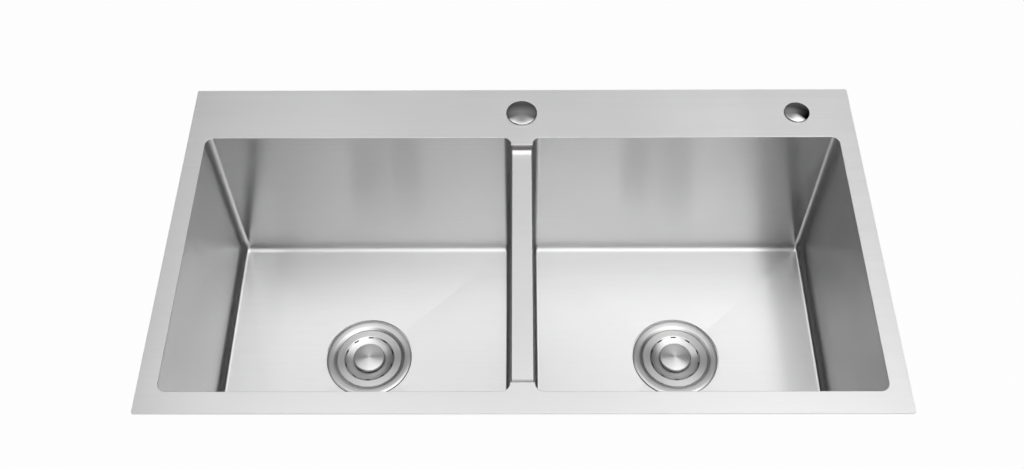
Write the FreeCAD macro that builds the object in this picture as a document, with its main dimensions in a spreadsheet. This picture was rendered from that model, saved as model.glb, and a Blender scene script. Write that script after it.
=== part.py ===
import FreeCAD, Part
import math
import os
import re
import Sketcher

# A drop-in kitchen sink of folded and welded stainless sheet: a flat deck with two equal square
# bowls, a lowered bridge between them, a basket strainer in each bowl and two plugged holes in
# the rear ledge. Millimetres. Z is up and X runs left to right. The origin is the middle of the
# sink's outline on the worktop, which is the underside of the foam seal.

SIZES = {
    # deck
    "overall_wide": 820.0,
    "overall_deep": 450.0,
    "deck_thick": 3.0,
    "deck_corner_radius": 2.0,
    "deck_edge_radius": 0.6,
    "front_rim": 25.5,
    "rear_ledge": 78.0,
    "side_rim": 22.0,
    "divider_wide": 27.0,
    "neck_straight": 1.0,
    # bowls
    "bowl_deep": 239.0,
    "bowl_corner_radius": 10.0,
    "bowl_floor_radius": 9.0,
    "bowl_sheet": 1.2,
    "floor_fall": 3.0,
    "crease_end_radius": 38.0,
    # lowered bridge between the bowls
    "bridge_drop": 10.0,
    "bridge_edge_radius": 2.5,
    "bridge_leg": 8.0,
    # foam seal under the deck
    "seal_thick": 2.0,
    "seal_wide": 9.0,
    "seal_inset": 1.5,
    # sound pads
    "pad_thick": 2.5,
    "floor_pad_margin": 42.0,
    "wall_pad_margin": 62.0,
    "wall_pad_below_deck": 62.0,
    "wall_pad_above_floor": 48.0,
    # flange of the strainer, and the seat pressed into each bowl's floor for it
    "flange_lap": 10.5,
    "flange_thick": 1.2,
    "flange_lip": 2.0,
    "flange_dish": 0.3,
    "flange_gap": 1.5,
    "seat_drop": 1.6,
    "drain_hole_radius": 45.0,
    # cup of the strainer
    "thread_clearance": 1.5,
    "skirt_wall": 4.0,
    "skirt_long": 32.0,
    "ledge_wide": 2.8,
    "ledge_drop": 3.2,
    "step_wide": 2.7,
    "cup_wall": 1.6,
    "cone_fall": 8.0,
    "outlet_radius": 19.0,
    "outlet_wall": 2.0,
    "outlet_long": 18.0,
    # gasket, washer, ring and nut that clamp the strainer
    "flange_gasket_thick": 1.5,
    "flange_gasket_wide": 8.0,
    "clamp_lap": 9.0,
    "clamp_clearance": 0.15,
    "sink_washer_thick": 3.0,
    "friction_ring_thick": 1.0,
    "lock_nut_high": 14.0,
    "lock_nut_wall": 5.0,
    "lock_nut_flange_thick": 3.0,
    "lug_wide": 7.0,
    "lug_reach": 6.0,
    # tailpiece, its washer and its nut
    "tail_wall": 1.4,
    "tail_long": 62.0,
    "tail_flange_thick": 1.6,
    "tail_washer_thick": 2.0,
    "coupling_wall": 4.0,
    "coupling_lip_thick": 2.5,
    "coupling_lip_clearance": 0.9,
    "coupling_high": 16.0,
    "coupling_rib_wide": 4.0,
    "coupling_rib_reach": 2.0,
    # basket
    "basket_clearance": 0.5,
    "basket_rim_inset": 7.0,
    "saucer_taper": 2.5,
    "saucer_deep": 2.2,
    "saucer_bend_radius": 1.0,
    "saucer_floor_wide": 10.5,
    "basket_taper": 2.5,
    "basket_deep": 31.0,
    "basket_sheet": 1.0,
    "basket_bend_radius": 5.0,
    "slot_wide": 6.0,
    "slot_long": 1.4,
    "tall_slot_wide": 4.0,
    "tall_slot_high": 17.0,
    "tall_slot_gap": 4.0,
    # knob, post, stopper and clip
    "knob_radius": 20.5,
    "knob_rise": 2.4,
    "knob_thick": 4.0,
    "knob_dome": 1.6,
    "knob_edge_radius": 1.0,
    "knob_neck_radius": 6.5,
    "knob_neck_long": 7.0,
    "post_radius": 3.0,
    "post_clearance": 0.08,
    "stopper_travel": 8.0,
    "stop_clearance": 0.3,
    "stopper_lap": 5.0,
    "stopper_nose": 1.0,
    "stopper_thick": 4.0,
    "seat_clearance": 0.35,
    "clip_wide": 3.0,
    "clip_thick": 1.2,
    "post_tip": 0.4,
    # plugs in the tap hole and the dispenser hole
    "tap_hole_radius": 17.5,
    "tap_hole_from_rear": 39.0,
    "dispenser_hole_radius": 14.0,
    "dispenser_hole_from_side": 68.0,
    "cover_lap": 1.75,
    "cover_edge_high": 0.8,
    "cover_dome_high": 2.6,
    "cover_gasket_thick": 1.0,
    "cover_gasket_inset": 0.8,
    "stud_radius": 3.0,
    "stud_long": 30.0,
    "thread_play": 0.05,
    "plate_thick": 1.5,
    "plate_lap": 4.5,
    "wing_hub_wall": 3.5,
    "wing_hub_high": 7.0,
    "wing_reach": 15.0,
    "wing_high": 11.0,
    "wing_thick": 2.5,
    # run past a face that a cut starts from
    "overrun": 2.0,
}

# Counts of repeated features
SLOT_COUNT = 10
LUG_COUNT = 8
RIB_COUNT = 12

# Places and sizes that follow from the sizes above
PLACES = {
    "deck_top": "seal_thick + deck_thick",
    "bowl_wide": "(overall_wide - divider_wide) / 2 - side_rim",
    "bowl_long": "overall_deep - front_rim - rear_ledge",
    "bowl_across": "(divider_wide + bowl_wide) / 2",
    "bowl_along": "front_rim + bowl_long / 2 - overall_deep / 2",
    "floor_edge": "deck_top - bowl_deep",
    "floor_low": "floor_edge - floor_fall",
    "crease_wide": "bowl_wide / 2 - bowl_floor_radius",
    "crease_long": "bowl_long / 2 - bowl_floor_radius",
    "crease_reach": "sqrt(crease_wide ^ 2 + crease_long ^ 2)",
    "crease_end_share": "crease_end_radius / crease_reach",
    "bridge_top": "deck_top - bridge_drop",
    "bridge_foot": "bridge_top - bridge_leg",
    "bridge_inner": "divider_wide / 2 - bowl_sheet",
    "neck_reach": "bowl_corner_radius + neck_straight",
    "neck_front": "bowl_along - bowl_long / 2 + neck_reach",
    "neck_rear": "bowl_along + bowl_long / 2 - neck_reach",
    "bridge_half": "(neck_rear - neck_front) / 2",
    "floor_pad_share": "1 - floor_pad_margin / crease_wide",
    "floor_pad_fall": "floor_fall * (1 - floor_pad_share) / (1 - crease_end_share)",
    "seat_level": "floor_low - seat_drop",
    "flange_radius": "drain_hole_radius + flange_lap",
    "seat_radius": "flange_radius + flange_gap",
    "flange_top": "seat_level + flange_gasket_thick + flange_thick",
    "gasket_inner": "flange_radius - flange_gasket_wide",
    "thread_radius": "drain_hole_radius - thread_clearance",
    "cup_radius": "thread_radius - skirt_wall",
    "ledge_radius": "cup_radius + ledge_wide",
    "clamp_radius": "drain_hole_radius + clamp_lap",
    "clamp_bore": "thread_radius + clamp_clearance",
    "outlet_outer": "outlet_radius + outlet_wall",
    "tail_inner": "outlet_radius - tail_wall",
    "coupling_bore": "outlet_outer + clamp_clearance",
    "coupling_lip_bore": "outlet_radius + coupling_lip_clearance",
    "basket_top": "basket_sheet - ledge_drop",
    "basket_mouth": "cup_radius - basket_rim_inset",
    "saucer_radius": "basket_mouth - saucer_taper",
    "slot_middle": "(basket_mouth + saucer_radius) / 2",
    "basket_neck": "saucer_radius - saucer_floor_wide",
    "basket_foot": "basket_neck - basket_taper",
    "basket_under": "basket_deep + ledge_drop",
    "stopper_radius": "outlet_radius + stopper_lap",
    "stopper_inner": "outlet_radius - stopper_nose",
    "cone_slope_share": "cone_fall / (cup_radius - outlet_radius)",
    "stopper_top": "-basket_under - stopper_travel - stop_clearance",
    "stopper_edge": "stopper_top - stopper_thick",
    "stopper_low": "stopper_edge - cone_slope_share * (stopper_radius - stopper_inner)",
    "cone_top": "stopper_edge - seat_clearance + cone_slope_share * (cup_radius - stopper_radius)",
    "cone_low": "cone_top - cone_fall",
    "outlet_end": "cone_low - outlet_long",
    "knob_rim": "knob_rise - knob_dome",
    "knob_under": "knob_rim - knob_thick - knob_neck_long",
    "knob_dome_radius": "((knob_radius - knob_edge_radius) ^ 2 + knob_dome ^ 2) / (2 * knob_dome)",
    "dome_high": "cover_dome_high - cover_edge_high",
    "hole_line": "overall_deep / 2 - tap_hole_from_rear",
    "dispenser_hole_across": "overall_wide / 2 - dispenser_hole_from_side",
}

doc = FreeCAD.newDocument("kitchen_sink")
sheet = doc.addObject("Spreadsheet::Sheet", "Sizes")
for row, (alias, value) in enumerate(SIZES.items(), start=1):
    sheet.set(f"A{row}", alias)
    sheet.set(f"B{row}", str(value))
    sheet.setAlias(f"B{row}", alias)
doc.recompute()

parts = []
# closer than this, two places are one
TINY = SIZES["bowl_sheet"] / 100


def spell(text):
    """Turn a sum of named sizes and places into one that reads the sheet's cells."""
    def word(match):
        name = match.group(0)
        if name in PLACES:
            return "(" + spell(PLACES[name]) + ")"
        if name in SIZES:
            return "Sizes." + name
        return name
    return re.sub(r"[a-z_]+", word, text)


def measure(text):
    """The present value of a sum of named sizes."""
    return float(sheet.evalExpression(spell(text)))


def bind(item, field, text):
    """Tie one property of an object to a sum of named sizes."""
    item.setExpression(field, spell(text))


def new_body(label, across="0", along="0", height="0"):
    """An empty body whose own origin lies at the given place."""
    body = doc.addObject("PartDesign::Body", label)
    body.Label = label
    for axis, text in zip("xyz", (across, along, height)):
        bind(body, f"Placement.Base.{axis}", text)
    parts.append(body)
    return body


def new_sketch(body, name, role="XY_Plane", lift="0"):
    """A sketch on one of the body's own planes, lifted along that plane's normal."""
    sketch = body.newObject("Sketcher::SketchObject", name)
    plane = [item for item in body.Origin.OriginFeatures if item.Role == role][0]
    sketch.AttachmentSupport = [(plane, "")]
    sketch.MapMode = "FlatFace"
    bind(sketch, "AttachmentOffset.Base.z", lift)
    return sketch


def pin_point(sketch, geometry, end, across, along):
    """Hold one end of a line at a named place."""
    for kind, text in (("DistanceX", across), ("DistanceY", along)):
        index = sketch.addConstraint(Sketcher.Constraint(kind, -1, 1, geometry, end, measure(text)))
        bind(sketch, f"Constraints[{index}]", text)


def curve_between(start, end, radius):
    """The arc of a radius that bulges to the left of the way from one point to the next."""
    chord = end - start
    across = FreeCAD.Vector(-chord.y, chord.x, 0).normalize()
    if radius < 0:
        across = -across
    rise = abs(radius) - math.sqrt(radius ** 2 - (chord.Length / 2) ** 2)
    return Part.Arc(start, start + chord / 2 + across * rise, end)


def draw_outline(sketch, points):
    """A closed outline through named points. A third value is the radius of an arc that follows."""
    spots = [FreeCAD.Vector(measure(point[0]), measure(point[1]), 0) for point in points]
    ends = []
    for index, point in enumerate(points):
        start, end = spots[index], spots[(index + 1) % len(points)]
        if len(point) == 2:
            geometry = sketch.addGeometry(Part.LineSegment(start, end), False)
        else:
            curve = curve_between(start, end, measure(point[2]))
            geometry = sketch.addGeometry(curve, False)
            radius = abs(measure(point[2]))
            limit = sketch.addConstraint(Sketcher.Constraint("Radius", geometry, radius))
            bind(sketch, f"Constraints[{limit}]", f"abs({point[2]})")
        forward = (sketch.getPoint(geometry, 1) - start).Length < TINY
        ends.append((geometry, 1 if forward else 2, 2 if forward else 1))
    for index, (geometry, near, far) in enumerate(ends):
        following = ends[(index + 1) % len(ends)]
        joint = ("Coincident", geometry, far, following[0], following[1])
        sketch.addConstraint(Sketcher.Constraint(*joint))
        pin_point(sketch, geometry, near, points[index][0], points[index][1])


def draw_rectangle(sketch, left, right, low, high):
    """A rectangle between four named limits."""
    draw_outline(sketch, [(left, low), (right, low), (right, high), (left, high)])


def draw_centred(sketch, half_wide, half_long, across="0", along="0"):
    """A rectangle given by its middle and half sizes."""
    draw_rectangle(
        sketch,
        f"{across} - ({half_wide})",
        f"{across} + ({half_wide})",
        f"{along} - ({half_long})",
        f"{along} + ({half_long})",
    )


def draw_circle(sketch, radius, across="0", along="0"):
    """A circle of a named radius at a named place."""
    middle = FreeCAD.Vector(measure(across), measure(along), 0)
    circle = Part.Circle(middle, FreeCAD.Vector(0, 0, 1), measure(radius))
    index = sketch.addGeometry(circle, False)
    pin_point(sketch, index, 3, across, along)
    limit = sketch.addConstraint(Sketcher.Constraint("Radius", index, measure(radius)))
    bind(sketch, f"Constraints[{limit}]", radius)


def add_pad(body, sketch, length, down=False, middle=False):
    """Extrude a sketch into material."""
    feature = body.newObject("PartDesign::Pad", sketch.Name + "_pad")
    feature.Profile = sketch
    feature.Reversed = down
    feature.Midplane = middle
    bind(feature, "Length", length)
    doc.recompute()
    return feature


def add_pocket(body, sketch, length, up=False):
    """Cut a sketch's outline out of the body, and make sure that it took material away."""
    before = body.Shape.Volume
    feature = body.newObject("PartDesign::Pocket", sketch.Name + "_cut")
    feature.Profile = sketch
    feature.Reversed = up
    bind(feature, "Length", length)
    doc.recompute()
    if not body.Shape.Volume < before:
        raise RuntimeError(f"{feature.Label} takes nothing away")
    return feature


def add_ring_copies(body, feature, count):
    """Repeat a feature evenly round the body's upright axis."""
    pattern = body.newObject("PartDesign::PolarPattern", feature.Name + "_ring")
    upright = [item for item in body.Origin.OriginFeatures if item.Role == "Z_Axis"][0]
    pattern.Originals = [feature]
    pattern.Axis = (upright, [""])
    pattern.Angle = 360
    pattern.Occurrences = count
    body.Tip = pattern
    doc.recompute()
    return pattern


def add_rounding(body, radius, chosen):
    """Round the edges of the body's last feature that a test chooses."""
    base = body.Tip
    names = [
        f"Edge{index}"
        for index, edge in enumerate(base.Shape.Edges, start=1)
        if chosen(edge)
    ]
    if not names:
        raise RuntimeError(f"{body.Label} has no edge to round")
    feature = body.newObject("PartDesign::Fillet", body.Name + "_round")
    feature.Base = (base, names)
    bind(feature, "Radius", radius)
    doc.recompute()
    return feature


def is_upright(edge):
    """Whether an edge is a straight one along Z."""
    box = edge.BoundBox
    return box.XLength < TINY and box.YLength < TINY and box.ZLength > TINY


def lies_at(edge, height):
    """Whether a whole edge lies at one height."""
    box = edge.BoundBox
    return abs(box.ZMin - height) < TINY and abs(box.ZMax - height) < TINY


def is_ring(edge, radius, height):
    """Whether an edge is a circle of one radius at one height."""
    round_edge = isinstance(edge.Curve, Part.Circle)
    return round_edge and lies_at(edge, height) and abs(edge.Curve.Radius - radius) < TINY


def make_deck():
    """The flat panel with one opening that both bowls share, and its two holes."""
    body = new_body("deck_panel", height="seal_thick")
    plate = new_sketch(body, "deck_outline")
    draw_centred(plate, "overall_wide / 2", "overall_deep / 2")
    add_pad(body, plate, "deck_thick")
    add_rounding(body, "deck_corner_radius", is_upright)

    bowls = new_sketch(body, "deck_bowls", lift="deck_thick")
    for side in ("-bowl_across", "bowl_across"):
        draw_centred(bowls, "bowl_wide / 2", "bowl_long / 2", side, "bowl_along")
    add_pocket(body, bowls, "deck_thick")
    reach = measure("bowl_across + bowl_wide / 2") + TINY
    depth = measure("bowl_long / 2") + TINY
    middle = measure("bowl_along")

    def in_opening(edge):
        spot = edge.BoundBox.Center
        return abs(spot.x) < reach and abs(spot.y - middle) < depth

    corner = "bowl_corner_radius"
    add_rounding(body, corner, lambda edge: is_upright(edge) and in_opening(edge))
    gap = new_sketch(body, "deck_gap", lift="deck_thick")
    half = "(divider_wide / 2 + overrun)"
    draw_rectangle(gap, f"-{half}", half, "neck_front", "neck_rear")
    add_pocket(body, gap, "deck_thick")
    top = measure("deck_thick")
    rim = "deck_edge_radius"
    add_rounding(body, rim, lambda edge: lies_at(edge, top) and in_opening(edge))

    holes = new_sketch(body, "deck_holes", lift="deck_thick")
    draw_circle(holes, "tap_hole_radius", "0", "hole_line")
    draw_circle(holes, "dispenser_hole_radius", "dispenser_hole_across", "hole_line")
    add_pocket(body, holes, "deck_thick")


def make_bridge():
    """The lowered strip between the bowls, a folded channel whose ends turn up to the deck."""
    body = new_body("divider_bridge", along="(neck_front + neck_rear) / 2", height="bridge_top")
    strip = new_sketch(body, "bridge_strip")
    draw_centred(strip, "divider_wide / 2", "bridge_half")
    add_pad(body, strip, "bridge_leg", down=True)

    def along_side(height, across):
        def chosen(edge):
            return lies_at(edge, height) and abs(abs(edge.BoundBox.Center.x) - across) < TINY
        return chosen

    add_rounding(body, "bridge_edge_radius", along_side(0, measure("divider_wide / 2")))
    hollow = new_sketch(body, "bridge_hollow", lift="-bridge_leg")
    draw_centred(hollow, "bridge_inner", "bridge_half")
    add_pocket(body, hollow, "bridge_leg - bowl_sheet", up=True)
    fold = along_side(-measure("bowl_sheet"), measure("bridge_inner"))
    add_rounding(body, "bridge_edge_radius - bowl_sheet", fold)
    for name, near, far in (
        ("bridge_front_end", "-bridge_half - bowl_sheet", "-bridge_half"),
        ("bridge_rear_end", "bridge_half", "bridge_half + bowl_sheet"),
    ):
        end = new_sketch(body, name, lift="-bridge_edge_radius")
        draw_rectangle(end, "-bridge_inner", "bridge_inner", near, far)
        add_pad(body, end, "bridge_edge_radius + bridge_drop - deck_thick")


def add_creases(body, name, level, low, share, thick):
    """Four shallow facets that fall towards the drain, folded into a sheet."""
    for kind, shift in (("AdditiveLoft", f" - {thick}"), ("SubtractiveLoft", "")):
        outer = new_sketch(body, f"{name}_{kind}_edge", lift=level + shift)
        draw_centred(outer, f"crease_wide * {share}", f"crease_long * {share}")
        inner = new_sketch(body, f"{name}_{kind}_middle", lift=low + shift)
        draw_centred(inner, "crease_wide * crease_end_share", "crease_long * crease_end_share")
        loft = body.newObject(f"PartDesign::{kind}", f"{name}_{kind}")
        loft.Profile = outer
        loft.Sections = [inner]
        loft.Ruled = True
        doc.recompute()


def make_bowl(side, sign):
    """A square bowl of bent sheet, open at the top, cut down where the bridge lies."""
    body = new_body(f"{side}_bowl", f"{sign} * bowl_across", "bowl_along", "floor_edge")
    high = "(seal_thick - floor_edge)"
    outline = new_sketch(body, f"{side}_bowl_outline", lift="-bowl_sheet")
    draw_centred(outline, "bowl_wide / 2 + bowl_sheet", "bowl_long / 2 + bowl_sheet")
    add_pad(body, outline, f"{high} + bowl_sheet")
    add_rounding(body, "bowl_corner_radius + bowl_sheet", is_upright)
    under = -measure("bowl_sheet")
    add_rounding(body, "bowl_floor_radius + bowl_sheet", lambda edge: lies_at(edge, under))

    lip = measure(high)
    block = body.Tip
    top = [
        f"Face{index}"
        for index, face in enumerate(block.Shape.Faces, start=1)
        if abs(face.BoundBox.ZMin - lip) < TINY
    ]
    shell = body.newObject("PartDesign::Thickness", f"{side}_bowl_shell")
    shell.Base = (block, top)
    shell.Mode = "Skin"
    shell.Join = "Arc"
    shell.Reversed = True
    bind(shell, "Value", "bowl_sheet")
    doc.recompute()

    add_creases(body, f"{side}_crease", "0", "-floor_fall", "1", "bowl_sheet")
    boss = new_sketch(body, f"{side}_seat_boss", lift="-floor_fall - seat_drop - bowl_sheet")
    draw_circle(boss, "seat_radius + bowl_sheet")
    add_pad(body, boss, "seat_drop + bowl_sheet")
    seat = new_sketch(body, f"{side}_seat")
    draw_circle(seat, "seat_radius")
    add_pocket(body, seat, "floor_fall + seat_drop")
    hole = new_sketch(body, f"{side}_drain_hole")
    draw_circle(hole, "drain_hole_radius")
    add_pocket(body, hole, "floor_fall + seat_drop + bowl_sheet + overrun")

    notch = new_sketch(body, f"{side}_bridge_notch", lift=high)
    face = f"-{sign} * bowl_wide / 2"
    inside, outside = f"{face} + {sign} * overrun", f"{face} - {sign} * (bowl_sheet + overrun)"
    front, rear = "neck_front - bowl_along", "neck_rear - bowl_along"
    draw_rectangle(notch, inside, outside, front, rear)
    add_pocket(body, notch, "seal_thick - bridge_foot")


def make_seal():
    """The foam tape between the deck and the worktop."""
    body = new_body("rim_seal")
    ring = new_sketch(body, "seal_ring")
    wide, long = "overall_wide / 2 - seal_inset", "overall_deep / 2 - seal_inset"
    draw_centred(ring, wide, long)
    draw_centred(ring, f"{wide} - seal_wide", f"{long} - seal_wide")
    add_pad(body, ring, "seal_thick")


def make_pads(side, sign):
    """Rubber pads that are stuck to the outside of a bowl against noise."""
    middle = f"{sign} * bowl_across"
    body = new_body(f"{side}_floor_pad", middle, "bowl_along", "floor_edge - bowl_sheet")
    plate = new_sketch(body, f"{side}_floor_pad_outline", lift="-floor_pad_fall")
    draw_centred(plate, "crease_wide * floor_pad_share", "crease_long * floor_pad_share")
    add_pad(body, plate, "pad_thick", down=True)
    name = f"{side}_pad_crease"
    add_creases(body, name, "-floor_pad_fall", "-floor_fall", "floor_pad_share", "pad_thick")
    hole = new_sketch(body, f"{side}_floor_pad_hole")
    draw_circle(hole, "seat_radius + bowl_sheet + pad_thick")
    add_pocket(body, hole, "floor_fall + pad_thick + overrun")

    foot = "floor_edge + wall_pad_above_floor"
    high = "bowl_deep - wall_pad_below_deck - wall_pad_above_floor"
    half = "pad_thick / 2"
    wide = "bowl_wide / 2 - wall_pad_margin"
    long = "bowl_long / 2 - wall_pad_margin"
    beside = f"{sign} * (bowl_across + bowl_wide / 2 + bowl_sheet + {half})"
    ahead = f"(bowl_long / 2 + bowl_sheet + {half})"
    for name, across, along, reach, depth in (
        ("front_pad", middle, f"bowl_along - {ahead}", wide, half),
        ("rear_pad", middle, f"bowl_along + {ahead}", wide, half),
        ("side_pad", beside, "bowl_along", half, long),
    ):
        body = new_body(f"{side}_{name}", across, along, foot)
        outline = new_sketch(body, f"{side}_{name}_outline")
        draw_centred(outline, reach, depth)
        add_pad(body, outline, high)


def turned_body(label, across, along, height, points):
    """A round piece with an upright axis, turned from its half section."""
    body = new_body(label, across, along, height)
    section = new_sketch(body, f"{label}_section", "XZ_Plane")
    draw_outline(section, points)
    turning = body.newObject("PartDesign::Revolution", f"{label}_turning")
    turning.Profile = section
    turning.ReferenceAxis = (section, ["V_Axis"])
    turning.Angle = 360
    doc.recompute()
    return body


def ring_section(inner, outer, low, high):
    """The half section of a plain ring."""
    return [(inner, low), (outer, low), (outer, high), (inner, high)]


def drain_body(side, sign, name, height, points):
    """A round piece on the axis of one drain."""
    return turned_body(f"{side}_{name}", f"{sign} * bowl_across", "bowl_along", height, points)


def make_strainer(side, sign):
    """The fixed pieces of one strainer that lie above the outlet."""
    flange = [
        ("flange_radius", "-flange_thick"),
        ("flange_radius", "-flange_thick / 2"),
        ("flange_radius - flange_lip", "0"),
        ("ledge_radius + step_wide", "-flange_dish"),
        ("ledge_radius", "basket_top"),
        ("ledge_radius", "-ledge_drop"),
        ("cup_radius", "-ledge_drop"),
    ]
    cup = [
        ("cup_radius", "cone_top"),
        ("outlet_radius", "cone_low"),
        ("outlet_radius", "outlet_end"),
        ("outlet_outer", "outlet_end"),
        ("outlet_outer", "cone_low - cup_wall"),
        ("cup_radius + cup_wall", "cone_top - cup_wall"),
        ("cup_radius + cup_wall", "-skirt_long"),
        ("thread_radius", "-skirt_long"),
        ("thread_radius", "-flange_thick - flange_gasket_thick"),
        ("gasket_inner", "-flange_thick"),
    ]
    drain_body(side, sign, "strainer_body", "flange_top", flange + cup)
    gasket = ring_section("gasket_inner", "flange_radius", "0", "flange_gasket_thick")
    drain_body(side, sign, "flange_gasket", "seat_level", gasket)

    below = "seat_level - bowl_sheet"
    for name, thick in (("sink_washer", "sink_washer_thick"), ("friction_ring", "friction_ring_thick")):
        ring = ring_section("clamp_bore", "clamp_radius", f"-{thick}", "0")
        drain_body(side, sign, name, below, ring)
        below += f" - {thick}"
    wall = "(clamp_bore + lock_nut_wall)"
    section = [
        ("clamp_bore", "-lock_nut_high"),
        (wall, "-lock_nut_high"),
        (wall, "-lock_nut_flange_thick"),
        ("clamp_radius", "-lock_nut_flange_thick"),
        ("clamp_radius", "0"),
        ("clamp_bore", "0"),
    ]
    nut = drain_body(side, sign, "lock_nut", below, section)
    lug = new_sketch(nut, f"{side}_lock_nut_lug", lift="-lock_nut_high")
    start, reach = f"{wall} - lock_nut_wall / 2", f"{wall} + lug_reach"
    draw_rectangle(lug, start, reach, "-lug_wide / 2", "lug_wide / 2")
    add_ring_copies(nut, add_pad(nut, lug, "lock_nut_high - lock_nut_flange_thick"), LUG_COUNT)


def make_tailpiece(side, sign):
    """The tailpiece under the outlet, with the washer and the nut that hold it."""
    end = "flange_top + outlet_end"
    washer = ring_section("tail_inner", "outlet_outer", "-tail_washer_thick", "0")
    drain_body(side, sign, "tail_washer", end, washer)
    end += " - tail_washer_thick"
    tube = [
        ("tail_inner", "-tail_long"),
        ("outlet_radius", "-tail_long"),
        ("outlet_radius", "-tail_flange_thick"),
        ("outlet_outer", "-tail_flange_thick"),
        ("outlet_outer", "0"),
        ("tail_inner", "0"),
    ]
    drain_body(side, sign, "tailpiece", end, tube)
    lip = "(-tail_flange_thick - coupling_lip_thick)"
    outer = "(coupling_bore + coupling_wall)"
    section = [
        ("coupling_lip_bore", lip),
        (outer, lip),
        (outer, f"{lip} + coupling_high"),
        ("coupling_bore", f"{lip} + coupling_high"),
        ("coupling_bore", "-tail_flange_thick"),
        ("coupling_lip_bore", "-tail_flange_thick"),
    ]
    nut = drain_body(side, sign, "coupling_nut", end, section)
    rib = new_sketch(nut, f"{side}_coupling_rib", lift=lip)
    start, reach = f"{outer} - coupling_wall / 2", f"{outer} + coupling_rib_reach"
    draw_rectangle(rib, start, reach, "-coupling_rib_wide / 2", "coupling_rib_wide / 2")
    add_ring_copies(nut, add_pad(nut, rib, "coupling_high"), RIB_COUNT)


def make_basket(side, sign):
    """The lift-out basket: a rim on the strainer's ledge, a shallow saucer and a pierced cup."""
    section = [
        ("ledge_radius - basket_clearance", "-basket_sheet"),
        ("ledge_radius - basket_clearance", "0"),
        ("basket_mouth", "0"),
        ("saucer_radius", "-saucer_deep"),
        ("basket_neck", "-saucer_deep"),
        ("basket_foot", "-basket_deep"),
        ("post_radius + post_clearance", "-basket_deep"),
        ("post_radius + post_clearance", "-basket_deep - basket_sheet"),
        ("basket_foot + basket_sheet", "-basket_deep - basket_sheet"),
        ("basket_neck + basket_sheet", "-saucer_deep - basket_sheet"),
        ("saucer_radius + basket_sheet / 2", "-saucer_deep - basket_sheet"),
        ("basket_mouth + basket_sheet / 2", "-basket_sheet"),
    ]
    basket = drain_body(side, sign, "basket", "flange_top + basket_top", section)
    for radius, ring, height in (
        ("basket_bend_radius", "basket_foot", "-basket_deep"),
        (
            "basket_bend_radius + basket_sheet",
            "basket_foot + basket_sheet",
            "-basket_deep - basket_sheet",
        ),
        ("saucer_bend_radius", "basket_mouth", "0"),
        ("saucer_bend_radius", "saucer_radius", "-saucer_deep"),
        ("saucer_bend_radius", "basket_neck", "-saucer_deep"),
    ):
        wide, level = measure(ring), measure(height)
        add_rounding(basket, radius, lambda edge: is_ring(edge, wide, level))

    slot = new_sketch(basket, f"{side}_basket_slot")
    start, reach = "slot_middle - slot_long / 2", "slot_middle + slot_long / 2"
    draw_rectangle(slot, "-slot_wide / 2", "slot_wide / 2", start, reach)
    through = "saucer_deep + basket_sheet"
    add_ring_copies(basket, add_pocket(basket, slot, through), SLOT_COUNT)
    high = "(-saucer_deep - tall_slot_gap)"
    tall = new_sketch(basket, f"{side}_basket_tall_slot", "XZ_Plane")
    half = "tall_slot_wide / 2"
    draw_rectangle(tall, f"-{half}", half, f"{high} - tall_slot_high", high)
    add_ring_copies(basket, add_pocket(basket, tall, "saucer_radius"), SLOT_COUNT)


def make_stopper(side, sign):
    """The knob, its post, the rubber stopper and the clip that keeps them in the basket."""
    bore = "post_radius + clamp_clearance"
    seal = [
        (bore, "stopper_low"),
        ("stopper_inner", "stopper_low"),
        ("stopper_radius", "stopper_edge"),
        ("stopper_radius", "stopper_edge + stopper_thick / 2"),
        ("stopper_radius - stopper_thick / 2", "stopper_top"),
        (bore, "stopper_top"),
    ]
    drain_body(side, sign, "stopper_seal", "flange_top", seal)
    rim = "(knob_radius - knob_edge_radius)"
    knob = [
        ("0", "knob_rise", "knob_dome_radius"),
        (rim, "knob_rim", "knob_edge_radius"),
        ("knob_radius", "knob_rim - knob_edge_radius"),
        ("knob_radius", "knob_rim - knob_thick / 2"),
        (f"{rim} - knob_thick / 2", "knob_rim - knob_thick"),
        ("knob_neck_radius", "knob_rim - knob_thick - knob_edge_radius"),
        ("knob_neck_radius", "knob_under"),
        ("0", "knob_under"),
    ]
    drain_body(side, sign, "knob", "flange_top", knob)
    foot = "stopper_low - clip_thick - post_tip"
    post = ring_section("0", "post_radius", foot, "knob_under")
    drain_body(side, sign, "post", "flange_top", post)
    reach = "post_radius + clip_wide"
    clip = ring_section("post_radius", reach, "stopper_low - clip_thick", "stopper_low")
    drain_body(side, sign, "stopper_clip", "flange_top", clip)


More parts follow.
